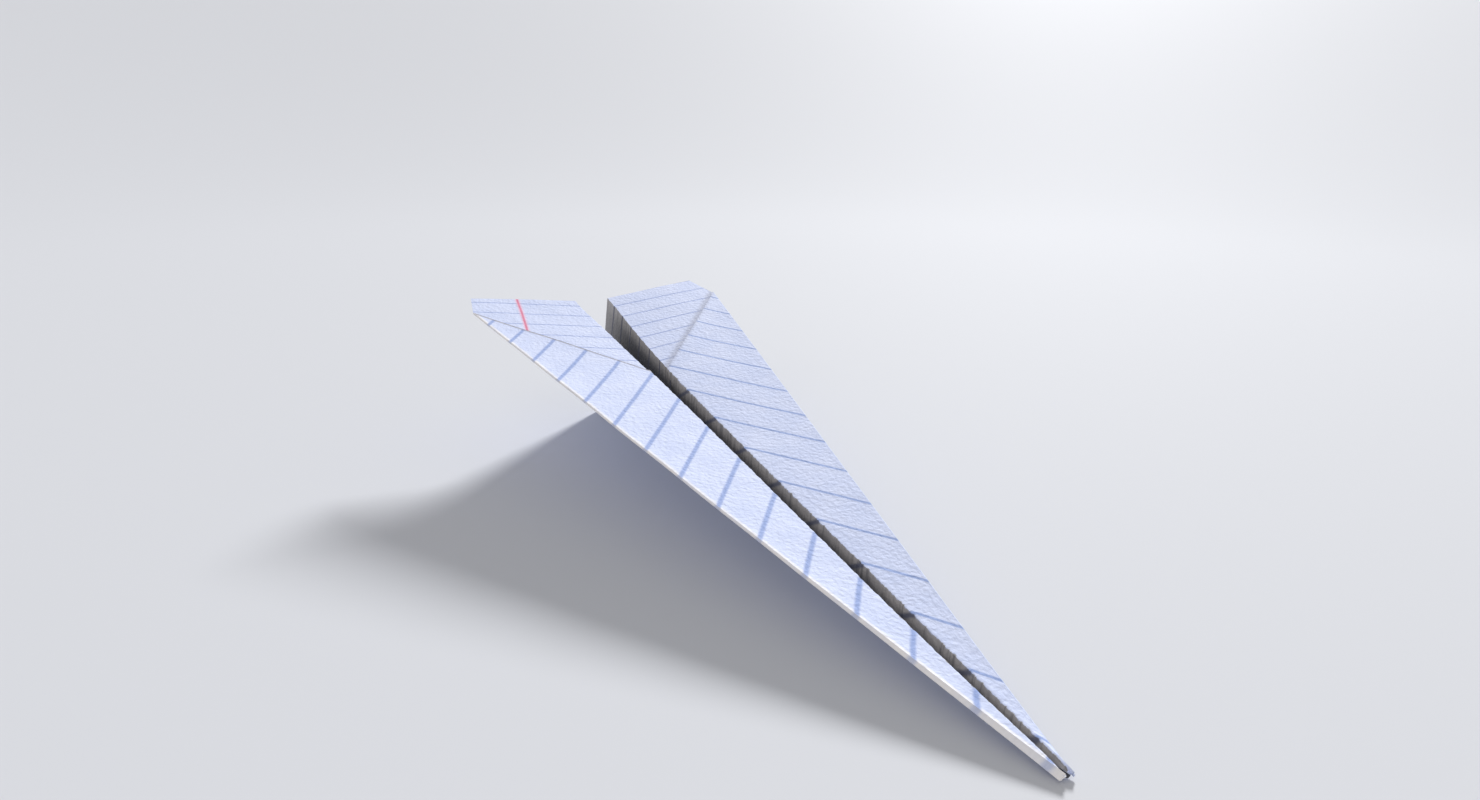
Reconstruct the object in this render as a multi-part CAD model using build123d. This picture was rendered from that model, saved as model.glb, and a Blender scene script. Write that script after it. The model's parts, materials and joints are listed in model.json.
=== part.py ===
"""Folded paper dart (paper airplane), made from one ruled letter-size sheet.

The sheet is folded in the classic way: both front corners are turned in to the middle, the
new edges are turned in again, the sheet is closed along its bottom crease, and the two
wings are turned down. What is left is one piece of paper in flat panels that meet
in creases, so every panel is a node, and so is every crease that joins two panels.

Sheet coordinates: v is the distance from the nose, square to the trailing edge, and u is
the distance across. The bottom crease, where the two halves meet, leaves the line u = 0 by
a small angle, which makes the keel shallower than half of the full sheet would.
Seen from above, the left half (+X) is built first, and the right half is its mirror image.
The nose points along -Y, +Z is up, and the origin is the bottom centre of the whole dart.
"""

import os
from math import cos, radians, sin, sqrt, tan

from build123d import *

# The sheet of paper
SHEET_WIDTH = 215.9
SHEET_LENGTH = 279.4
PAPER = 0.1
LAYER_PITCH = 0.16

# Creases, as angles from the line u = 0, all running from the nose
BOTTOM_CREASE_ANGLE = 2.6
WING_CREASE_ANGLE = 12.4
LEADING_EDGE_ANGLE = 22.5

# Distance from the nose at which the flap's raw edge crosses the wing crease
FLAP_CROSSING = 207.0

# Pose at rest: lean of each side of the keel, and rise of each wing above level
KEEL_LEAN = 6.9
WING_RISE = 4.5

# Room at the creases
KEEL_HALF_GAP = 0.3
CREASE_CORE = 0.1
CREASE_CLEARANCE = 0.7
NARROWEST_PANEL = 0.15
CREASE_START = 2.5
KEEL_FOLD_HALF_ANGLE = 75.0
WEDGE_REACH = 4

LAYERS = 4
HALF_WIDTH = SHEET_WIDTH / 2
CORNER_REACH = HALF_WIDTH * sqrt(2)
STACK = (LAYERS - 1) * LAYER_PITCH + PAPER
EDGE_RADIUS = STACK / 2
INNER_EDGE_RADIUS = LAYER_PITCH / 2 + PAPER / 2
KEEL_OUTSIDE = KEEL_HALF_GAP + STACK

WING_TAN = tan(radians(WING_CREASE_ANGLE))
EDGE_TAN = tan(radians(LEADING_EDGE_ANGLE))
SIDE_CORNER = (HALF_WIDTH, HALF_WIDTH / EDGE_TAN)
FLAP_POINT = (FLAP_CROSSING * WING_TAN, FLAP_CROSSING)

# The aft edge of each layer, as two points, in the keel and in the wing. Layer 1 is the
# sheet itself, 2 and 3 are the corner turned in once and twice, and 4 is the top flap.
KEEL_AFT_EDGES = [
    ((0, SHEET_LENGTH), (HALF_WIDTH, SHEET_LENGTH)),
    ((0, HALF_WIDTH), (HALF_WIDTH, HALF_WIDTH)),
    ((0, CORNER_REACH), (HALF_WIDTH * EDGE_TAN, HALF_WIDTH)),
    ((0, CORNER_REACH), FLAP_POINT),
]
WING_AFT_EDGES = KEEL_AFT_EDGES[:-1] + [(FLAP_POINT, SIDE_CORNER)]
LAYER_NAMES = ["base", "lower_corner", "upper_corner", "flap"]


def crease_u(angle, v, inset=0.0):
    """u at distance v on a line beside a crease from the nose, moved outboard by inset."""
    return v * tan(radians(angle)) + inset / cos(radians(angle))


def meet(edge, angle, inset=0.0):
    """Point where an edge, given by two points, meets the line beside a crease."""
    (u1, v1), (u2, v2) = edge
    slope = tan(radians(angle))
    share = (crease_u(angle, v1, inset) - u1) / ((u2 - u1) - (v2 - v1) * slope)
    return (u1 + share * (u2 - u1), v1 + share * (v2 - v1))


def layer_height(layer):
    """Height of a layer's lower face above the outside of the stack."""
    return layer * LAYER_PITCH


def keel_plane():
    """Sheet plane of the left side of the keel; its z runs inwards from the mid-plane."""
    lean = radians(KEEL_LEAN)
    turn = radians(BOTTOM_CREASE_ANGLE)
    u_direction = (sin(lean) * cos(turn), sin(turn), cos(lean) * cos(turn))
    inwards = (-cos(lean), 0, sin(lean))
    return Plane(origin=(0, 0, KEEL_OUTSIDE), x_dir=u_direction, z_dir=inwards)


def crease_axis():
    """Start and direction of the left wing crease's hinge line, just outside the keel."""
    plane = keel_plane()
    start = plane.from_local_coords(Vector(0, 0, -KEEL_OUTSIDE - CREASE_CORE))
    angle = radians(WING_CREASE_ANGLE)
    return start, plane.y_dir * cos(angle) + plane.x_dir * sin(angle)


def wing_outwards():
    """Unit vector out along the left wing, square to its crease."""
    along = crease_axis()[1]
    rise = radians(WING_RISE)
    level = Vector(cos(rise), 0, sin(rise))
    return (level - along * level.dot(along)).normalized()


def wing_plane():
    """Sheet plane of the left wing; its z runs up from the crease's hinge line."""
    start, along = crease_axis()
    outwards = wing_outwards()
    angle = radians(WING_CREASE_ANGLE)
    u_direction = along * sin(angle) + outwards * cos(angle)
    return Plane(origin=start, x_dir=u_direction, z_dir=outwards.cross(along))


def panel(plane, outline, height):
    """A flat panel of paper on the plane, with its lower face at the height."""
    return plane * Pos(0, 0, height) * extrude(Polygon(*outline, align=None), PAPER)


def keel_front():
    """Distance from the nose at which a keel panel is as narrow as it may be."""
    clear = crease_u(BOTTOM_CREASE_ANGLE, 0, CREASE_CLEARANCE)
    return (clear + NARROWEST_PANEL) / (WING_TAN - tan(radians(BOTTOM_CREASE_ANGLE)))


def keel_panel(layer):
    """One layer of the left side of the keel, from the bottom crease to the wing crease."""
    edge = KEEL_AFT_EDGES[layer]
    front = keel_front()
    outline = [
        (crease_u(BOTTOM_CREASE_ANGLE, front, CREASE_CLEARANCE), front),
        (crease_u(WING_CREASE_ANGLE, front), front),
        meet(edge, WING_CREASE_ANGLE),
        meet(edge, BOTTOM_CREASE_ANGLE, CREASE_CLEARANCE),
    ]
    return panel(keel_plane(), outline, layer_height(layer) - KEEL_OUTSIDE)


def wing_front():
    """Distance from the nose at which a wing panel is as narrow as it may be."""
    clear = crease_u(WING_CREASE_ANGLE, 0, CREASE_CLEARANCE)
    edge = crease_u(LEADING_EDGE_ANGLE, 0, EDGE_RADIUS)
    return (clear + edge + NARROWEST_PANEL) / (EDGE_TAN - WING_TAN)


def wing_panel(layer):
    """One layer of the left wing, from the wing crease to the leading edge."""
    edge = WING_AFT_EDGES[layer]
    front = wing_front()
    outline = [
        (crease_u(LEADING_EDGE_ANGLE, front, -EDGE_RADIUS), front),
        (crease_u(WING_CREASE_ANGLE, front, CREASE_CLEARANCE), front),
        meet(edge, WING_CREASE_ANGLE, CREASE_CLEARANCE),
    ]
    if layer == 0:
        side = ((HALF_WIDTH, 0), (HALF_WIDTH, SHEET_LENGTH))
        outline += [(HALF_WIDTH, SHEET_LENGTH), meet(side, LEADING_EDGE_ANGLE, -EDGE_RADIUS)]
    else:
        outline += [meet(edge, LEADING_EDGE_ANGLE, -EDGE_RADIUS)]
    return panel(wing_plane(), outline, layer_height(layer) + CREASE_CORE)


def folded_strip(radius, length):
    """Half of a paper tube: a crease that turns the paper back on itself, towards +X."""
    ring = Circle(radius) - Circle(radius - PAPER)
    outer_half = Rectangle(radius, 2 * radius, align=(Align.MIN, Align.CENTER))
    return extrude(ring & outer_half, length)


def leading_edge_strip(radius, last):
    """A crease along the left leading edge, from the wing's front to distance last."""
    angle = radians(LEADING_EDGE_ANGLE)
    front = wing_front()
    start = (
        crease_u(LEADING_EDGE_ANGLE, front, -EDGE_RADIUS),
        front,
        CREASE_CORE + EDGE_RADIUS,
    )
    run = Plane(origin=start, x_dir=(cos(angle), -sin(angle), 0), z_dir=(sin(angle), cos(angle), 0))
    strip = folded_strip(radius, (last - front) / cos(angle))
    return wing_plane() * (run * strip)


def corner_crease():
    """The crease of the turned-in corner, inside the left side of the keel."""
    angle = radians(BOTTOM_CREASE_ANGLE)
    front = keel_front()
    middle = layer_height(2) + PAPER / 2 + LAYER_PITCH / 2 - KEEL_OUTSIDE
    start = (crease_u(BOTTOM_CREASE_ANGLE, front, CREASE_CLEARANCE), front, middle)
    run = Plane(origin=start, x_dir=(-cos(angle), sin(angle), 0), z_dir=(sin(angle), cos(angle), 0))
    last = meet(KEEL_AFT_EDGES[3], BOTTOM_CREASE_ANGLE, CREASE_CLEARANCE)[1]
    return keel_plane() * (run * folded_strip(INNER_EDGE_RADIUS, (last - front) / cos(angle)))


def ring_sector(inner, first, last):
    """Sketch of a ring of paper between two angles in degrees, under half a turn apart."""
    reach = WEDGE_REACH * (inner + PAPER)
    middle = (first + last) / 2
    spread = [radians(a) for a in (first, middle, last)]
    wedge = Polygon((0, 0), *[(reach * cos(a), reach * sin(a)) for a in spread], align=None)
    return (Circle(inner + PAPER) - Circle(inner)) & wedge


def wing_crease():
    """All layers of the left wing crease, bent round its hinge line."""
    start, along = crease_axis()
    up = wing_plane().z_dir
    turn = up.get_angle(keel_plane().z_dir)
    bends = []
    for layer, edge in enumerate(KEEL_AFT_EDGES):
        last = meet(edge, WING_CREASE_ANGLE)[1] / cos(radians(WING_CREASE_ANGLE))
        run = Plane(origin=start + along * CREASE_START, x_dir=up, z_dir=along)
        sector = ring_sector(CREASE_CORE + layer_height(layer), -turn, 0)
        bends.append(run * extrude(sector, last - CREASE_START))
    return bends


def keel_fold():
    """The crease along the bottom of the keel, which joins the two halves."""
    run = Plane(origin=(0, CREASE_START, KEEL_OUTSIDE), x_dir=(0, 0, -1), z_dir=(0, 1, 0))
    sector = ring_sector(KEEL_OUTSIDE - PAPER, -KEEL_FOLD_HALF_ANGLE, KEEL_FOLD_HALF_ANGLE)
    length = SHEET_LENGTH / cos(radians(BOTTOM_CREASE_ANGLE))
    return run * extrude(sector, length - CREASE_START)


def left_half():
    """Every node of the left half, by name without its side, each as a list of solids."""
    half = {}
    for layer, name in enumerate(LAYER_NAMES):
        half[f"keel_{name}"] = [keel_panel(layer)]
        half[f"wing_{name}"] = [wing_panel(layer)]
    flap_end = meet(WING_AFT_EDGES[3], LEADING_EDGE_ANGLE, -EDGE_RADIUS)[1]
    half["leading_edge"] = [leading_edge_strip(EDGE_RADIUS, flap_end)]
    half["inner_leading_edge"] = [leading_edge_strip(INNER_EDGE_RADIUS, HALF_WIDTH)]
    half["corner_crease"] = [corner_crease()]
    half["wing_crease"] = wing_crease()
    return half


def solids_of(shapes):
    """The separate solids in a list of shapes."""
    return [solid for shape in shapes for solid in shape.solids()]


def main():
    os.makedirs("parts", exist_ok=True)
    nodes = {"keel_fold": solids_of([keel_fold()])}
    for name, shapes in left_half().items():
        solids = solids_of(shapes)
        nodes[f"left_{name}"] = solids
        nodes[f"right_{name}"] = [solid.mirror(Plane.YZ) for solid in solids]
    box = Compound([solid for solids in nodes.values() for solid in solids]).bounding_box()
    to_origin = Pos(0, -box.center().Y, -box.min.Z)
    for name, solids in nodes.items():
        moved = [to_origin * solid for solid in solids]
        export_step(moved[0] if len(moved) == 1 else Compound(moved), f"parts/{name}.step")


main()
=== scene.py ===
"""Looks of the folded paper dart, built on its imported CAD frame.

Lengths are in millimetres until a mesh is made. A point of the sheet is named by its angle
from the sheet's length and its radius from the nose, so every crease is a line of one angle.
Each of the four layers of paper is its own closed thin solid, and all of them share the
bow and the ripples of hand-made creases, which the straight hinges of the CAD leave out.
"""

import json
import math

import bmesh
import bpy
import numpy as np
from mathutils import Matrix, Vector


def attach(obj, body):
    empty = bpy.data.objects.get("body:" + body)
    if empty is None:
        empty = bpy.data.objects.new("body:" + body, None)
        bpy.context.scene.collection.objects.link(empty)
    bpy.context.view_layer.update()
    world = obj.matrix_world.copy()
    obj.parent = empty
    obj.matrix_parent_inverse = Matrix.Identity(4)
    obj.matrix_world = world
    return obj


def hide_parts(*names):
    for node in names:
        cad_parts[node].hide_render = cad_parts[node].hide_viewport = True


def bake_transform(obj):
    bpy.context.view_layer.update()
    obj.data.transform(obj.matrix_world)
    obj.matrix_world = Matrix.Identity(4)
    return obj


MILLIMETRE = 0.001

# The sheet and its creases, as in the CAD
HALF_WIDTH = 107.95
LENGTH = 279.4
PAPER = 0.1
PITCH = 0.16
CORE = 0.1
FLAP_TOP = 0.68
KEEL_OUTSIDE = 0.88
FLAP_CROSSING = 207.0
BOTTOM_ANGLE = math.radians(2.6)
LEADING_ANGLE = math.radians(22.5)
WING_RISE = math.radians(4.5)
CORNER_REACH = HALF_WIDTH * math.sqrt(2)
SIDE_CORNER = (HALF_WIDTH, HALF_WIDTH / math.tan(LEADING_ANGLE))
TAIL_ANGLE = math.atan(HALF_WIDTH / LENGTH)

# The nose is soft and blunt, so the paper starts just ahead of where the creases meet
FRONT = -1.95
CAP = 0.1

# Width of the bend at a wing crease, as its material measures it
BEND_WIDTH = 0.6

# Fineness of the meshes
ROWS = 300
INNER_ROWS = 150
KEEL_COLUMNS = 10
WING_COLUMNS = 16
BEND_COLUMNS = 9
FINE_STEPS = np.radians([0.13, 0.27, 0.4, 0.55, 0.7, 0.9, 1.2, 1.6])

# Ruled lines: distance apart, and the direction across them on a flap, as (u, v)
FLAP_SPACING = 14.32
AFT_SPACING = 11.25
FLAP_LINE = np.array([0.8963, 0.4434])

# Where the margin line lies across the sheet, and where it starts and ends to curl
MARGIN_LINE = -87.05
MARGIN_CURL = (253.0, 281.0)

# Along the radius: how fast the bulk of the nose dies away, and where the tail starts to bend
NOSE_REACH = 35
TAIL_START = 200
TAIL_RUN = 86

# Distances given to faces that have no raw edge, or no wing crease, near them
FAR_FROM_EDGE = -9
FAR_FROM_CREASE = 9
IN_THE_KEEL = -30

# The studio floor, in metres: flat around the dart, then a bowl that flattens into a slope
FLOOR_RADIUS = 14
FLAT_RADIUS = 0.9
FLOOR_SLOPE = 0.16
SLOPE_REACH = 1.6
FLOOR_GAP = 0.0002

# The camera: its place in metres, its directions, and its lens on a sensor 36 mm wide
CAMERA_PLACE = (-0.13988, -0.26437, 0.13343)
CAMERA_RIGHT = (0.8826, -0.4700, 0.0076)
CAMERA_BACK = (-0.4515, -0.8429, 0.2927)
SENSOR_WIDTH = 36.0
LENS = 23.49

# Length of the leading edge, from the nose to the side corner
LEADING_LENGTH = HALF_WIDTH / math.sin(LEADING_ANGLE)

# How far a bend is drawn out from round, at 0, to a sharp corner, at 1
SHARPNESS = 0.75


def unit(vector):
    """A vector of length one in the same direction."""
    return vector / np.linalg.norm(vector)


class Side:
    """One half of the dart: directions read from its wing's hinge."""

    def __init__(self, name, sign, joint):
        self.name = name
        self.sign = sign
        self.start = np.array(joint["pos_m"]) / MILLIMETRE
        axis = np.array(joint["axis"])
        self.along = unit(axis * np.sign(axis[1]))
        self.crease_angle = math.acos(self.along[1]) + BOTTOM_ANGLE
        aft = np.array([0.0, 1.0, 0.0])
        self.aft = aft
        self.keel_up = unit(self.along - aft * self.along[1])
        self.keel_in = sign * np.cross(self.keel_up, aft)
        level = np.array([sign * math.cos(WING_RISE), 0.0, math.sin(WING_RISE)])
        self.out = unit(level - self.along * level.dot(self.along))
        self.up = sign * np.cross(self.out, self.along)
        self.line_slope = 0.05 if sign > 0 else -0.03
        self.first_aft_line = 273.4 if sign > 0 else 271.6
        self.first_flap_line = 205.66 if sign > 0 else 201.83


# Shape of the creases, all as functions of the radius from the nose


def crease_bow(radius, sign):
    """How far the wing crease bows outboard of its straight hinge."""
    share = np.clip((radius * 0.9767 - 30) / 232, 0, None)
    bow = np.minimum(-1.7 * 6.75 * share**2 * (1 - share), 0.35)
    bow = bow + (0.45 - 0.2 * sign) * np.clip(radius / 40, 0, 1)
    return bow + 0.45 * np.exp(-radius / 25) + 0.2 * np.exp((FRONT - radius) / 2)


def edge_shift(radius, sign):
    """How far the leading edge lies outboard of its ideal line."""
    if sign > 0:
        return 0.55 - 0.0061 * radius + 0.5 * np.exp((FRONT - radius) / 8)
    nose = 0.24 * np.exp((FRONT - radius) / 20)
    share = np.clip(radius / LEADING_LENGTH, 0, 1)
    return 0.903 - 0.01064 * radius + 0.72 * np.sin(math.pi * share**0.7) + nose


def crease_lift(radius):
    """How far the wing crease is lifted, by the bulk of the nose and the spring of the tail."""
    tail = np.clip((radius - TAIL_START) / TAIL_RUN, 0, None)
    crushed = 0.5 * np.exp((FRONT - radius) / 2)
    return np.exp((FRONT - radius) / NOSE_REACH) - crushed + 1.6 * tail**2


def edge_lift(radius, sign):
    """How far the leading edge is lifted, by the bulk of the nose, and droops at the tail."""
    tail = np.clip((radius - TAIL_START) / TAIL_RUN, 0, None)
    bulk = (0.1 - 0.2 * sign) * np.exp((FRONT - radius) / NOSE_REACH)
    return bulk - (0.28 + 0.08 * sign) * tail**2


def bottom_rise(radius):
    """How far the bottom crease curls up at the nose."""
    return 0.5 * np.exp((FRONT - radius) / 12)


def bevel(radius, sign):
    """Half the height of the soft bevel that the folded leading edge makes."""
    bulk = 0.2 if sign > 0 else 0.45
    return 0.15 + bulk * np.exp(-radius / 60) + 0.08 * np.exp((FRONT - radius) / 8)


def edge_drop(radius):
    """How far the underside sags below the folded leading edge."""
    return 0.25 * np.exp(-radius / 60)


def ripple(u, v):
    """Gentle waves of handled paper."""
    waves = (
        (0.055, 0.081, 0.047, 0.4),
        (0.045, -0.060, 0.113, 2.1),
        (0.030, 0.170, -0.090, 4.4),
        (0.022, 0.260, 0.210, 1.3),
    )
    return sum(a * np.sin(p * u + q * v + phase) for a, p, q, phase in waves)


def crease_waver(radius, sign):
    """Small dents left along the wing crease where it was pinched."""
    fine = 0.07 * np.sin(radius * 1.19 + sign) + 0.05 * np.sin(radius * 0.71 + 2 * sign)
    fine = fine + 0.05 * np.sin(radius * 2.37 + 1.5 * np.sin(radius * 0.37))
    return fine * np.clip(radius / 40, 0, 1)


def place(side, angle, radius, turn, height):
    """Points of the folded sheet, and their place on the flat sheet.

    turn goes from 0 on the keel to 1 on the wing, round the bend between them, and height
    is measured from the outside of the fold.
    """
    crease = side.crease_angle
    on_keel = np.minimum(angle, crease) - BOTTOM_ANGLE
    on_wing = np.maximum(angle - crease, 0)
    keel_way = np.cos(on_keel)[..., None] * side.aft + np.sin(on_keel)[..., None] * side.keel_up
    wing_way = np.cos(on_wing)[..., None] * side.along + np.sin(on_wing)[..., None] * side.out
    way = np.where(on_wing[..., None] > 0, wing_way, keel_way)
    edge_share = on_wing / (LEADING_ANGLE - crease)
    up_keel = on_keel / (crease - BOTTOM_ANGLE)
    crease_share = up_keel - edge_share
    bottom_share = 1 - up_keel
    away = np.abs(angle - crease) * np.maximum(radius, 1)
    out = crease_bow(radius, side.sign) * crease_share + edge_shift(radius, side.sign) * edge_share
    out = out + crease_waver(radius, side.sign) * np.exp(-away / 3)
    rise = crease_lift(radius) * crease_share + edge_lift(radius, side.sign) * edge_share
    rise = rise + bottom_rise(radius) * bottom_share
    turn_angle = math.acos(side.keel_in.dot(side.up))
    normal = (
        np.sin((1 - turn) * turn_angle)[..., None] * side.keel_in
        + np.sin(turn * turn_angle)[..., None] * side.up
    ) / math.sin(turn_angle)
    u, v = radius * np.sin(angle), radius * np.cos(angle)
    into_bend = np.minimum(turn, 1 - turn) * turn_angle
    height = height * (1 + SHARPNESS * (1 / np.cos(into_bend) - 1))
    height = height * (1 - 0.32 * (1 - turn) * np.exp((FRONT - radius) / 2))
    settle = np.clip(radius / 30, 0, 1) * np.clip(up_keel * 3, 0, 1)
    height = height + ripple(side.sign * u, v) * settle
    point = side.start + radius[..., None] * way + out[..., None] * side.out
    point = point + rise[..., None] * np.array([0.0, 0.0, 1.0]) + height[..., None] * normal
    return point, np.stack([side.sign * u, v], axis=-1)


def columns(side, last):
    """Angle and turn of every column of a sheet, from the bottom crease to angle last."""
    crease = side.crease_angle
    keel = np.linspace(BOTTOM_ANGLE, crease - FINE_STEPS[-1], KEEL_COLUMNS, endpoint=False)
    near_keel = crease - FINE_STEPS[::-1]
    near_wing = crease + FINE_STEPS
    wing = np.linspace(crease + FINE_STEPS[-1], last, WING_COLUMNS + 1)[1:]
    if last > TAIL_ANGLE:
        wing[np.argmin(np.abs(wing - TAIL_ANGLE))] = TAIL_ANGLE
    bend = np.full(BEND_COLUMNS, crease)
    angle = np.concatenate([keel, near_keel, bend, near_wing, wing])
    turn = np.concatenate(
        [
            np.zeros(len(keel) + len(near_keel)),
            np.linspace(0, 1, BEND_COLUMNS),
            np.ones(len(near_wing) + len(wing)),
        ]
    )
    return angle, turn


def reach(angle, first, second):
    """Radius at which the line at each angle meets the line through two points."""
    du, dv = second[0] - first[0], second[1] - first[1]
    return (first[0] * dv - first[1] * du) / (np.sin(angle) * dv - np.cos(angle) * du)


def base_end(side, angle):
    """Radius of the sheet's own aft edge and side edge."""
    return np.where(angle <= TAIL_ANGLE, LENGTH / np.cos(angle), HALF_WIDTH / np.sin(angle + 1e-9))


def lower_corner_end(side, angle):
    """Radius of the aft edge of the corner that was turned in once."""
    return HALF_WIDTH / np.cos(angle)


def upper_corner_end(side, angle):
    """Radius of the aft edge of the corner that was turned in twice."""
    return reach(angle, (0, CORNER_REACH), (HALF_WIDTH * math.tan(LEADING_ANGLE), HALF_WIDTH))


def flap_point(side):
    """Where the flap's raw edge crosses the wing crease, on the sheet."""
    return (FLAP_CROSSING * math.tan(side.crease_angle), FLAP_CROSSING)


def flap_end(side, angle):
    """Radius of the flap's raw edge."""
    keel = reach(angle, (0, CORNER_REACH), flap_point(side))
    wing = reach(angle, flap_point(side), SIDE_CORNER)
    return np.where(angle < side.crease_angle, keel, wing)


def raw_edge_distance(side, angle, flat):
    """Distance aft of the flap's raw edge, on the sheet."""
    u, v = np.abs(flat[..., 0]), flat[..., 1]
    point = flap_point(side)
    distance = []
    for other in ((0, CORNER_REACH), SIDE_CORNER):
        du, dv = other[0] - point[0], other[1] - point[1]
        across = ((v - point[1]) * du - (u - point[0]) * dv) / math.hypot(du, dv)
        distance.append(across * np.sign(du))
    return np.where(angle < side.crease_angle, *distance)


def flap_ruling(side, flat):
    """Count of ruled lines from the first, on a flap, where the lines run slantwise."""
    across = np.abs(flat[..., 0]) * FLAP_LINE[0] + flat[..., 1] * FLAP_LINE[1]
    return (side.first_flap_line - across) / FLAP_SPACING


def base_ruling(side, flat):
    """Count of ruled lines from the first, on the base sheet, where they run across."""
    across = flat[..., 1] + side.line_slope * np.abs(flat[..., 0])
    return (side.first_aft_line - across) / AFT_SPACING


def marks(side, angle, turn, flat, ruling):
    """What the paper's material needs at each point: line count, and two distances."""
    crease = side.crease_angle
    to_crease = np.abs(flat[..., 0]) * math.cos(crease) - flat[..., 1] * math.sin(crease)
    to_crease = to_crease - BEND_WIDTH * (1 - turn)
    return np.stack([ruling(side, flat), raw_edge_distance(side, angle, flat), to_crease], axis=-1)


class Paper:
    """Collects closed thin solids, each between two grids of points, for one piece."""

    def __init__(self):
        self.points, self.flat, self.marks, self.faces = [], [], [], []
        self.count = 0

    def add(self, lower, upper, flat, mark):
        """Adds the solid between a lower and an upper grid, which share their attributes."""
        rows, cols = lower.shape[:2]
        first = self.count
        index = first + np.arange(rows * cols).reshape(rows, cols)
        other = index + rows * cols
        for grid, step in ((index, 1), (other, -1)):
            quads = np.stack([grid[:-1, :-1], grid[1:, :-1], grid[1:, 1:], grid[:-1, 1:]], axis=-1)
            self.faces.extend(quads.reshape(-1, 4)[:, ::step].tolist())
        ring = np.concatenate([index[0, :-1], index[:-1, -1], index[-1, :0:-1], index[:0:-1, 0]])
        follow = np.roll(ring, -1)
        shift = rows * cols
        self.faces.extend(np.stack([ring, follow, follow + shift, ring + shift], axis=-1).tolist())
        for inside, grid in enumerate((lower, upper)):
            self.points.append(grid.reshape(-1, 3))
            faced = np.full((rows * cols, 1), float(inside))
            self.flat.append(np.concatenate([flat.reshape(-1, 2), faced], axis=1))
            self.marks.append(mark.reshape(-1, 3))
        self.count += 2 * rows * cols

    def build(self, name, material):
        """Makes the piece's mesh object."""
        points = np.concatenate(self.points) * MILLIMETRE
        mesh = bpy.data.meshes.new(name)
        mesh.from_pydata(points.tolist(), [], self.faces)
        for key, values in (("sheet", self.flat), ("marks", self.marks)):
            attribute = mesh.attributes.new(key, "FLOAT_VECTOR", "POINT")
            attribute.data.foreach_set("vector", np.concatenate(values).astype(np.float32).ravel())
        work = bmesh.new()
        work.from_mesh(mesh)
        bmesh.ops.recalc_face_normals(work, faces=work.faces)
        work.to_mesh(mesh)
        work.free()
        mesh.polygons.foreach_set("use_smooth", [True] * len(mesh.polygons))
        mesh.set_sharp_from_angle(angle=math.radians(40))
        mesh.materials.append(material)
        piece = bpy.data.objects.new(name, mesh)
        bpy.context.scene.collection.objects.link(piece)
        return piece


def layer_grid(side, end, rows):
    """Angle, turn and radius of every point of a layer."""
    angle, turn = columns(side, LEADING_ANGLE)
    along = np.linspace(0, 1, rows)[:, None]
    radius = FRONT + along * (end(side, angle)[None, :] - FRONT)
    angle = np.broadcast_to(angle, radius.shape)
    turn = np.broadcast_to(turn, radius.shape)
    return angle, turn, radius


def edge_nearness(side, angle, radius):
    """1 at the leading edge, falling to 0 a few millimetres inboard."""
    share = np.clip((angle - side.crease_angle) / (LEADING_ANGLE - side.crease_angle), 0, 1)
    return share * np.exp(-(LEADING_ANGLE - angle) * np.maximum(radius, 0) / 4)


def layer_solid(side, paper, layer, end, ruling):
    """Adds one layer of the half, keel and wing in one bent sheet."""
    angle, turn, radius = layer_grid(side, end, INNER_ROWS if layer in (1, 2) else ROWS)
    near = edge_nearness(side, angle, radius)
    height = np.full(radius.shape, CORE + layer * PITCH)
    inboard = 0.3 * near
    if layer == 0:
        height = height - edge_drop(radius) * near
        inboard = 0 * near
    if layer == 3:
        height = height + bevel(radius, side.sign) * near + raised_edge(side, angle, radius)
        inboard = bevel(radius, side.sign) * near
    grids = []
    for extra in (0, PAPER):
        point, flat = place(side, angle, radius, turn, height + extra)
        grids.append(point - inboard[..., None] * side.out)
    paper.add(*grids, flat, marks(side, angle, turn, flat, ruling))


def raised_edge(side, angle, radius):
    """How far the flap's raw edge stands up from the sheet below it."""
    share = np.clip((angle - side.crease_angle) / (LEADING_ANGLE - side.crease_angle), 0, 1)
    behind = np.maximum(flap_end(side, angle) - radius, 0)
    return 0.3 * np.sin(math.pi * share) * np.exp(-behind / 14)


def edge_profile(radius, sign):
    """Outer and inner outline of the folded leading edge, as steps outboard and up."""
    soft = bevel(radius, sign)
    drop = edge_drop(radius)
    low = CORE - drop
    outer = [
        (-soft, FLAP_TOP + soft),
        (-0.8 * soft, FLAP_TOP + 0.88 * soft),
        (0 * soft, FLAP_TOP + 0.03 + 0 * soft),
        (0.85 * soft, FLAP_TOP - 0.8 * soft),
        (soft, FLAP_TOP - 1.05 * soft),
        (0.8 * soft, 0.6 * low + 0.4 * (FLAP_TOP - soft)),
        (0 * soft, low),
    ]
    inwards = [
        (0, -1),
        (-0.5, -0.87),
        (-0.7, -0.7),
        (-0.9, -0.3),
        (-1, 0.15),
        (-0.8, 0.6),
        (0, 1),
    ]
    inner = [(o + PAPER * i, h + PAPER * j) for (o, h), (i, j) in zip(outer, inwards)]
    return [np.stack([np.stack(pair, axis=-1) for pair in line], axis=1) for line in (outer, inner)]


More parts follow.
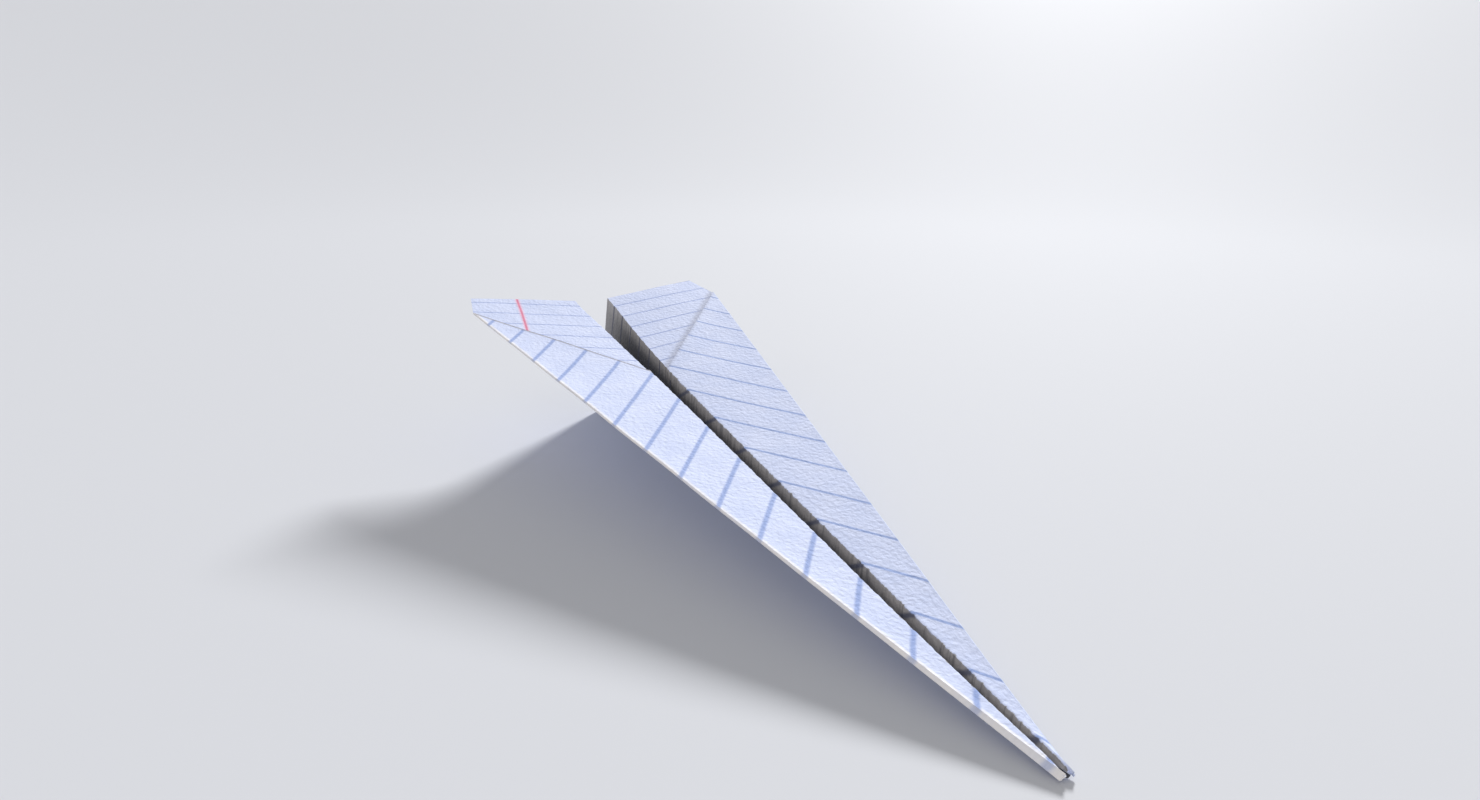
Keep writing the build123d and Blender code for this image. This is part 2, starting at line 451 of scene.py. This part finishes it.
def leading_edge(side, paper):
    """Adds the fold along the leading edge, from the nose to the side corner."""
    radius = np.linspace(FRONT, LEADING_LENGTH, ROWS)
    edge, flat = place(
        side, np.full(ROWS, LEADING_ANGLE), radius, np.ones(ROWS), np.zeros(ROWS)
    )
    outer, inner = edge_profile(radius, side.sign)
    grids = []
    for line in (outer, inner):
        steps = line[..., :1] * side.out + line[..., 1:] * side.up
        grids.append(edge[:, None, :] + steps)
    count = outer.shape[1]
    run = np.linspace(0, 1, count)[None, :, None]
    outwards = np.array([side.sign * math.cos(LEADING_ANGLE), -math.sin(LEADING_ANGLE)])
    spread = flat[:, None, :] + run * outwards
    mark = marks(side, np.full(ROWS, LEADING_ANGLE), 1, flat, flap_ruling)
    mark[:, 1] = FAR_FROM_EDGE
    paper.add(*grids, spread, np.repeat(mark[:, None, :], count, axis=1))


def nose_cap(side, paper):
    """Adds the crushed end of the stack at the nose, which closes its front."""
    angle, turn = columns(side, LEADING_ANGLE)
    radius = np.full(angle.shape, FRONT)
    near = edge_nearness(side, angle, radius)
    soft = bevel(radius, side.sign)
    low, flat = place(side, angle, radius, turn, CORE - edge_drop(radius) * near)
    high, _ = place(side, angle, radius, turn, FLAP_TOP + soft * near)
    high = high - (soft * near)[..., None] * side.out
    rim = soft[-1] * (side.out - side.up) + (high[-1] + soft[-1] * (side.out - side.up))
    share = np.array([0.35, 0.7, 0.98])[:, None]
    low = np.concatenate([low, low[-1] + share * (rim - low[-1])])
    high = np.concatenate([high, high[-1] + share * (rim - high[-1])])
    flat = np.concatenate([flat, np.repeat(flat[-1:], len(share), axis=0)])
    levels = np.linspace(0, 1, 4)[:, None, None]
    back = low + levels * (high - low)
    front = back - CAP * side.aft
    flat = np.broadcast_to(flat, (*back.shape[:2], 2))
    mark = marks(side, np.full(back.shape[:2], LEADING_ANGLE), 1, flat, flap_ruling)
    mark[...] = (0.5, FAR_FROM_EDGE, FAR_FROM_CREASE)
    paper.add(back, front, flat, mark)


def half_tube(side, paper, angle, last, middle, across, inboard):
    """Adds a crease that turns the paper back on itself, inside the stack."""
    radius = np.linspace(FRONT, last, ROWS)
    turn = np.full(ROWS, 1.0 if angle > side.crease_angle else 0.0)
    line, flat = place(side, np.full(ROWS, angle), radius, turn, np.full(ROWS, middle))
    line = line - inboard * side.out
    normal = side.up if angle > side.crease_angle else side.keel_in
    sweep = np.linspace(-math.pi / 2, math.pi / 2, 7)[None, :, None]
    ring = np.cos(sweep) * across + np.sin(sweep) * normal
    outer_radius = (PITCH + PAPER) / 2
    grids = [line[:, None, :] + size * ring for size in (outer_radius, outer_radius - PAPER)]
    mark = marks(side, np.full(ROWS, angle), turn, flat, flap_ruling)
    mark[:, 1] = FAR_FROM_EDGE
    shape = (ROWS, ring.shape[1])
    flat = np.broadcast_to(flat[:, None, :], (*shape, 2))
    paper.add(*grids, flat, np.broadcast_to(mark[:, None, :], (*shape, 3)))


def bottom_crease(left, paper):
    """Adds the round bottom of the keel, between the tangent lines of its two sides."""
    radius = np.linspace(FRONT, LENGTH / math.cos(BOTTOM_ANGLE), ROWS)
    lean = math.atan2(left.keel_up[0], left.keel_up[2])
    sweep = np.linspace(-math.pi / 2 + lean, math.pi / 2 - lean, 25)[None, :, None]
    ring = np.sin(sweep) * np.array([1.0, 0, 0]) - np.cos(sweep) * np.array([0, 0, 1.0])
    centre = np.zeros((ROWS, 3))
    centre[:, 1] = left.start[1] + radius
    centre[:, 2] = KEEL_OUTSIDE + bottom_rise(radius)
    grids = [centre[:, None, :] + size * ring for size in (KEEL_OUTSIDE, KEEL_OUTSIDE - PAPER)]
    u = sweep[..., 0] * KEEL_OUTSIDE + radius[:, None] * math.sin(BOTTOM_ANGLE)
    v = np.broadcast_to(radius[:, None] * math.cos(BOTTOM_ANGLE), u.shape)
    flat = np.stack([u, v], axis=-1)
    mark = marks(left, np.zeros(u.shape), 0, flat, base_ruling)
    mark[..., 1:] = (FAR_FROM_EDGE, IN_THE_KEEL)
    paper.add(*grids, flat, mark)


# Materials


def colour(code):
    """Linear colour of a hex code."""
    parts = [int(code[i : i + 2], 16) / 255 for i in (0, 2, 4)]
    return (*[c / 12.92 if c <= 0.04045 else ((c + 0.055) / 1.055) ** 2.4 for c in parts], 1.0)


class Nodes:
    """Short ways to add and link the nodes of one material."""

    def __init__(self, material):
        material.use_nodes = True
        self.tree = material.node_tree
        self.tree.nodes.clear()

    def add(self, kind, settings=None, **inputs):
        """Adds a node, with its settings, and with values or sockets for its inputs."""
        node = self.tree.nodes.new(kind)
        for key, value in (settings or {}).items():
            setattr(node, key, value)
        for key, value in inputs.items():
            name = int(key[1:]) if key[1:].isdigit() else key.replace("_", " ")
            socket = node.inputs[name]
            if isinstance(value, bpy.types.NodeSocket):
                self.tree.links.new(value, socket)
            else:
                socket.default_value = value
        return node

    def math(self, operation, first, second=0.0, third=0.0):
        """A number worked out from up to three others."""
        node = self.add("ShaderNodeMath", {"operation": operation}, i0=first, i1=second, i2=third)
        return node.outputs[0]

    def ramp(self, value, low, high, start=0.0, end=1.0):
        """A smooth step from start, at low, to end, at high."""
        node = self.add(
            "ShaderNodeMapRange",
            {"interpolation_type": "SMOOTHSTEP"},
            Value=value,
            From_Min=low,
            From_Max=high,
            To_Min=start,
            To_Max=end,
        )
        return node.outputs[0]

    def noise(self, vector, scale, detail=2.0, roughness=0.5, distortion=0.0):
        """Noise between 0 and 1, with its scale per millimetre."""
        node = self.add(
            "ShaderNodeTexNoise",
            Vector=vector,
            Scale=scale,
            Detail=detail,
            Roughness=roughness,
            Distortion=distortion,
        )
        return node.outputs["Fac"]

    def mix(self, factor, first, second):
        """A mix of two colours."""
        node = self.add("ShaderNodeMix", {"data_type": "RGBA"}, i0=factor, i6=first, i7=second)
        return node.outputs[2]


def ruled_paper(name, spacing, half_width, ink, strength, raw_edge_shadow, margin=None, painted_rim_shading=None):
    """Ruled writing paper: fibres, mottling, soft printed lines, painted shading at the leading edge
    and painted shade in the keel.

    The shade between the walls of the keel is painted shade, because the soft light leaves it pale.

    raw_edge_shadow is the start, middle, end, colour and strength of a painted shadow by the flap's
    raw edge, and painted_rim_shading is the strength, reach inward and colour of painted shading on
    the leading edge: a warm painted highlight on the near wing, painted shade on the far wing.
    """
    material = bpy.data.materials.new(name)
    nodes = Nodes(material)
    sheet = nodes.add("ShaderNodeAttribute", {"attribute_name": "sheet"}).outputs["Vector"]
    marked = nodes.add("ShaderNodeAttribute", {"attribute_name": "marks"}).outputs["Vector"]
    split = nodes.add("ShaderNodeSeparateXYZ", Vector=marked)
    count, raw_edge, to_crease = split.outputs
    place_u, place_v, inside = nodes.add("ShaderNodeSeparateXYZ", Vector=sheet).outputs

    cloud = nodes.noise(sheet, 0.09, 4.0, 0.6)
    fleck = nodes.noise(sheet, 0.9, 4.0, 0.65)
    fibre = nodes.noise(sheet, 3.2, 3.0, 0.6, 0.6)
    tone = nodes.mix(nodes.ramp(cloud, 0.3, 0.7), colour("C9D3F1"), colour("D4DCF6"))
    tone = nodes.mix(nodes.ramp(fleck, 0.35, 0.75, 0.0, 0.45), tone, colour("DEE5FA"))
    tone = nodes.mix(nodes.ramp(fibre, 0.55, 0.8, 0.0, 0.25), tone, colour("B4BEDE"))
    # Painted shading along the leading edge: a warm painted highlight on the near wing, painted shade
    # on the far wing
    if painted_rim_shading is not None:
        rim_shading_strength, reach_in, beige = painted_rim_shading
        inward = nodes.math("MULTIPLY", place_v, math.sin(LEADING_ANGLE))
        beside = nodes.math("MULTIPLY", nodes.math("ABSOLUTE", place_u), -math.cos(LEADING_ANGLE))
        inward = nodes.math("ADD", inward, beside)
        rim_shading = nodes.ramp(inward, 0.4 * reach_in, reach_in, 1.0, 0.0)
        rim_shading = nodes.math("MULTIPLY", rim_shading, nodes.ramp(cloud, 0.3, 0.7, 0.75 * rim_shading_strength, rim_shading_strength))
        tone = nodes.mix(rim_shading, tone, beige)

    waver = nodes.math("MULTIPLY", nodes.math("SUBTRACT", cloud, 0.5), 0.35 / spacing)
    shifted = nodes.math("ADD", nodes.math("ADD", count, waver), 0.5)
    offset = nodes.math("ABSOLUTE", nodes.math("SUBTRACT", nodes.math("FRACT", shifted), 0.5))
    width = nodes.math("MULTIPLY", offset, spacing)
    width = nodes.math("ADD", width, nodes.math("MULTIPLY_ADD", fleck, 0.35, -0.175))
    line = nodes.ramp(width, 0.4 * half_width, 1.7 * half_width, 1.0, 0.0)
    density = nodes.ramp(fibre, 0.25, 0.75, strength, 0.75 * strength)
    tone = nodes.mix(nodes.math("MULTIPLY", line, density), tone, ink)

    if margin is not None:
        curl = nodes.ramp(place_v, *MARGIN_CURL)
        curl = nodes.math("MULTIPLY_ADD", nodes.math("MULTIPLY", curl, curl), 0.65, -margin)
        away = nodes.math("ABSOLUTE", nodes.math("ADD", place_u, curl))
        away = nodes.math("ADD", away, nodes.math("MULTIPLY_ADD", fleck, 0.3, -0.15))
        halo = nodes.ramp(away, 0.5, 1.6, 0.6, 0.0)
        core = nodes.ramp(away, 0.2, 0.75, 0.9, 0.0)
        tone = nodes.mix(halo, tone, colour("F0BACD"))
        tone = nodes.mix(core, tone, colour("DD6E8E"))

    # Painted shadow by the flap's raw edge, on the upper faces only
    start, middle, end, shadow_colour, strength = raw_edge_shadow
    near_side = nodes.ramp(raw_edge, start, middle)
    far_side = nodes.ramp(raw_edge, middle, end, 1.0, 0.0)
    beside = nodes.math("MULTIPLY", nodes.math("MULTIPLY", near_side, far_side), inside)
    tone = nodes.mix(nodes.math("MULTIPLY", beside, strength), tone, shadow_colour)

    # Painted shade on the inner walls of the keel: darker the deeper below the wing crease, with dark
    # streaks in it
    depth = nodes.math("MULTIPLY", to_crease, -1.0)
    across = nodes.add("ShaderNodeCombineXYZ", i0=nodes.math("MULTIPLY", place_u, 0.07), i1=place_v)
    streak = nodes.noise(across.outputs[0], 0.6, 3.0, 0.6)
    deeper = nodes.math("MULTIPLY_ADD", streak, 5.0, nodes.math("ADD", depth, -2.5))
    painted_keel_shade = nodes.mix(nodes.ramp(deeper, 0.0, 7.0), colour("ADA8A3"), colour("34322F"))
    # Painted light: the keel walls are drawn lighter towards the open tail, where light gets in
    aft = nodes.ramp(place_v, 240.0, 282.0, 0.0, 0.75)
    painted_keel_shade = nodes.mix(aft, painted_keel_shade, colour("B4B1AE"))
    stroke = nodes.ramp(streak, 0.52, 0.68, 0.0, 0.5)
    painted_keel_shade = nodes.mix(stroke, painted_keel_shade, colour("45423F"))
    # Ruled lines running down the keel walls: printed ink, drawn in a dark painted-shade tone
    broad = nodes.ramp(width, 0.5 * half_width, 2.6 * half_width, 0.75, 0.0)
    painted_keel_shade = nodes.mix(broad, painted_keel_shade, colour("3F4258"))
    # Ragged upper edge of the painted shade, just below the wing crease
    ragged = nodes.math("MULTIPLY_ADD", streak, 1.2, nodes.math("ADD", depth, -0.6))
    shaded = nodes.math("MULTIPLY", nodes.ramp(ragged, 0.22, 0.42, 0.0, 0.9), inside)
    tone = nodes.mix(shaded, tone, painted_keel_shade)

    pebble = nodes.noise(sheet, 0.7, 2.0, 0.4, 0.3)
    relief = nodes.math("MULTIPLY_ADD", fibre, 0.12, pebble)
    bump = nodes.add("ShaderNodeBump", Strength=1.0, Distance=0.00029, Height=relief)
    shine = nodes.ramp(fleck, 0.3, 0.7, 0.72, 0.86)
    shader = nodes.add(
        "ShaderNodeBsdfPrincipled",
        Base_Color=tone,
        Roughness=shine,
        Normal=bump.outputs[0],
        Specular_IOR_Level=0.28,
        Sheen_Weight=0.08,
    )
    nodes.add("ShaderNodeOutputMaterial", Surface=shader.outputs[0])
    return material


def plain(name, code, roughness):
    """Plain studio surface for the stage."""
    material = bpy.data.materials.new(name)
    nodes = Nodes(material)
    shader = nodes.add("ShaderNodeBsdfPrincipled", Base_Color=colour(code), Roughness=roughness)
    nodes.add("ShaderNodeOutputMaterial", Surface=shader.outputs[0])
    return material


# The stage, the light and the camera


def make_stage():
    """A pale floor that rises gently into its own backdrop, far from the dart."""
    turns, rings = 96, 60
    distance = FLOOR_RADIUS * np.linspace(0, 1, rings) ** 2
    beyond = np.maximum(distance - FLAT_RADIUS, 0)
    height = FLOOR_SLOPE * beyond * beyond / (beyond + SLOPE_REACH) - FLOOR_GAP
    points, faces = [], []
    for ring in range(1, rings):
        for turn in range(turns):
            angle = 2 * math.pi * turn / turns
            points.append(
                (distance[ring] * math.cos(angle), distance[ring] * math.sin(angle), height[ring])
            )
    points.append((0, 0, height[0]))
    for ring in range(rings - 2):
        for turn in range(turns):
            following = (turn + 1) % turns
            near, far = ring * turns, (ring + 1) * turns
            faces.append((near + turn, near + following, far + following, far + turn))
    for turn in range(turns):
        faces.append((len(points) - 1, (turn + 1) % turns, turn))
    mesh = bpy.data.meshes.new("studio_floor")
    mesh.from_pydata(points, [], faces)
    mesh.polygons.foreach_set("use_smooth", [True] * len(faces))
    mesh.materials.append(plain("studio_floor", "D2D3D6", 0.9))
    floor = bpy.data.objects.new("studio_floor", mesh)
    bpy.context.scene.collection.objects.link(floor)


def make_light():
    """A cool key from the right and behind, a warm weak fill, and a pale sky."""
    sun = bpy.data.lights.new("key", "SUN")
    sun.energy = 4.2
    sun.angle = math.radians(11)
    sun.color = (0.97, 0.98, 1.0)
    key = bpy.data.objects.new("key", sun)
    key.rotation_euler = Vector((-0.66, -0.62, -0.42)).to_track_quat("-Z", "Y").to_euler()
    bpy.context.scene.collection.objects.link(key)
    fill = bpy.data.lights.new("fill", "SUN")
    fill.energy = 0.6
    fill.angle = math.radians(60)
    fill.color = (1.0, 0.93, 0.86)
    opposite = bpy.data.objects.new("fill", fill)
    opposite.rotation_euler = Vector((0.6, 0.62, -0.5)).to_track_quat("-Z", "Y").to_euler()
    bpy.context.scene.collection.objects.link(opposite)
    world = bpy.data.worlds.new("studio")
    world.use_nodes = True
    backdrop = world.node_tree.nodes["Background"]
    backdrop.inputs["Color"].default_value = (0.93, 0.95, 1.0, 1.0)
    backdrop.inputs["Strength"].default_value = 0.44
    bpy.context.scene.world = world
    bpy.context.scene.view_settings.view_transform = "Standard"


def make_camera():
    """The photograph's point of view."""
    data = bpy.data.cameras.new("camera")
    data.sensor_fit = "HORIZONTAL"
    data.sensor_width = SENSOR_WIDTH
    data.lens = LENS
    data.clip_start = 0.01
    data.clip_end = 50.0
    camera = bpy.data.objects.new("camera", data)
    right = Vector(CAMERA_RIGHT).normalized()
    back = Vector(CAMERA_BACK).normalized()
    up = back.cross(right).normalized()
    right = up.cross(back)
    turned = Matrix((right, up, back)).transposed().to_4x4()
    camera.matrix_world = Matrix.Translation(Vector(CAMERA_PLACE)) @ turned
    bpy.context.scene.collection.objects.link(camera)
    bpy.context.scene.camera = camera


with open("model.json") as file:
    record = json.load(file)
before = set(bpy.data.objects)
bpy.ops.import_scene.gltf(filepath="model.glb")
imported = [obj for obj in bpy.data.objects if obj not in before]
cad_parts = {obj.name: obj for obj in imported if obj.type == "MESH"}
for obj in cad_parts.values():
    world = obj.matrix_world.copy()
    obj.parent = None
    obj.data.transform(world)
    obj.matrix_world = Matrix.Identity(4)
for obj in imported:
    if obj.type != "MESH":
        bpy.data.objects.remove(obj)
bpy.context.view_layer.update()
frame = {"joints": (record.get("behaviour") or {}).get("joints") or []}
joints = {joint["name"]: joint for joint in frame["joints"]}
sides = [
    Side("left", 1, joints["wing_left_fold"]),
    Side("right", -1, joints["wing_right_fold"]),
]

# Painted shadow along the flap's raw edge: wide on the far wing, thin on the near wing, none on the
# folds and inner layers
grey = colour("9A9BA8")
wide_raw_edge_shadow = (-1.6, 0.8, 3.8, grey, 0.5)
thin_raw_edge_shadow = (-1.6, -0.2, 1.7, colour("8A8486"), 0.75)
no_raw_edge_shadow = (50.0, 55.0, 60.0, grey, 0.0)
aft_ink = colour("8799CC")
near_ink = colour("8AA0D4")
far_ink = colour("7C96CE")
sheet_paper = {
    "left": ruled_paper("base_paper_left", AFT_SPACING, 0.36, aft_ink, 0.9, wide_raw_edge_shadow),
    "right": ruled_paper("base_paper_right", AFT_SPACING, 0.36, aft_ink, 0.9, thin_raw_edge_shadow, MARGIN_LINE),
}
# Warm pale tone of the painted highlight along the near wing's leading edge
beige = colour("FCF7F1")
flap_paper = {
    "left": ruled_paper("flap_paper_left", FLAP_SPACING, 0.48, far_ink, 0.9, wide_raw_edge_shadow),
    "right": ruled_paper(
        "flap_paper_right", FLAP_SPACING, 0.7, near_ink, 1.0, thin_raw_edge_shadow, None, (0.7, 1.3, beige)
    ),
}
# Painted shade along the far wing's leading edge
shaded = (0.8, 5.0, colour("B9C2DC"))
edge_paper = {
    "left": ruled_paper("edge_paper_left", FLAP_SPACING, 0.5, far_ink, 0.6, no_raw_edge_shadow, None, shaded),
    "right": ruled_paper(
        "edge_paper_right", FLAP_SPACING, 0.9, near_ink, 0.5, no_raw_edge_shadow, None, (0.9, 5.0, beige)
    ),
}
hidden_paper = ruled_paper("inner_paper", FLAP_SPACING, 0.36, far_ink, 0.8, no_raw_edge_shadow)

for side in sides:
    keel, wing = f"keel_{side.name}", f"wing_{side.name}"
    s = side.name
    layers = [
        ("base", base_end, base_ruling, sheet_paper[s]),
        ("lower_corner", lower_corner_end, flap_ruling, hidden_paper),
        ("upper_corner", upper_corner_end, flap_ruling, hidden_paper),
        ("flap", flap_end, flap_ruling, flap_paper[s]),
    ]
    for layer, (name, end_of, ruling, material) in enumerate(layers):
        paper = Paper()
        layer_solid(side, paper, layer, end_of, ruling)
        piece = paper.build(f"{s}_{name}_sheet", material)
        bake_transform(piece)
        stands_for = [f"{s}_keel_{name}", f"{s}_wing_{name}"]
        if name == "base":
            stands_for.append(f"{s}_wing_crease")
        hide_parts(*stands_for)

    paper = Paper()
    leading_edge(side, paper)
    nose_cap(side, paper)
    piece = paper.build(f"{s}_leading_edge_fold", edge_paper[s])
    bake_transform(piece)
    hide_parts(f"{s}_leading_edge")

    paper = Paper()
    middle = CORE + 1.5 * PITCH + PAPER / 2
    half_tube(side, paper, LEADING_ANGLE, HALF_WIDTH / math.cos(LEADING_ANGLE), middle, side.out, 0.3)
    piece = paper.build(f"{s}_inner_leading_edge_fold", hidden_paper)
    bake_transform(piece)
    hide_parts(f"{s}_inner_leading_edge")

    paper = Paper()
    middle = CORE + 2.5 * PITCH + PAPER / 2
    last = upper_corner_end(side, BOTTOM_ANGLE)
    half_tube(side, paper, BOTTOM_ANGLE, last, middle, -side.keel_up, 0.0)
    piece = paper.build(f"{s}_corner_fold", hidden_paper)
    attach(piece, keel)
    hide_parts(f"{s}_corner_crease")

paper = Paper()
bottom_crease(sides[0], paper)
piece = paper.build("keel_bottom_crease", sheet_paper["left"])
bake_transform(piece)
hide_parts("keel_fold")

make_stage()
make_light()
make_camera()
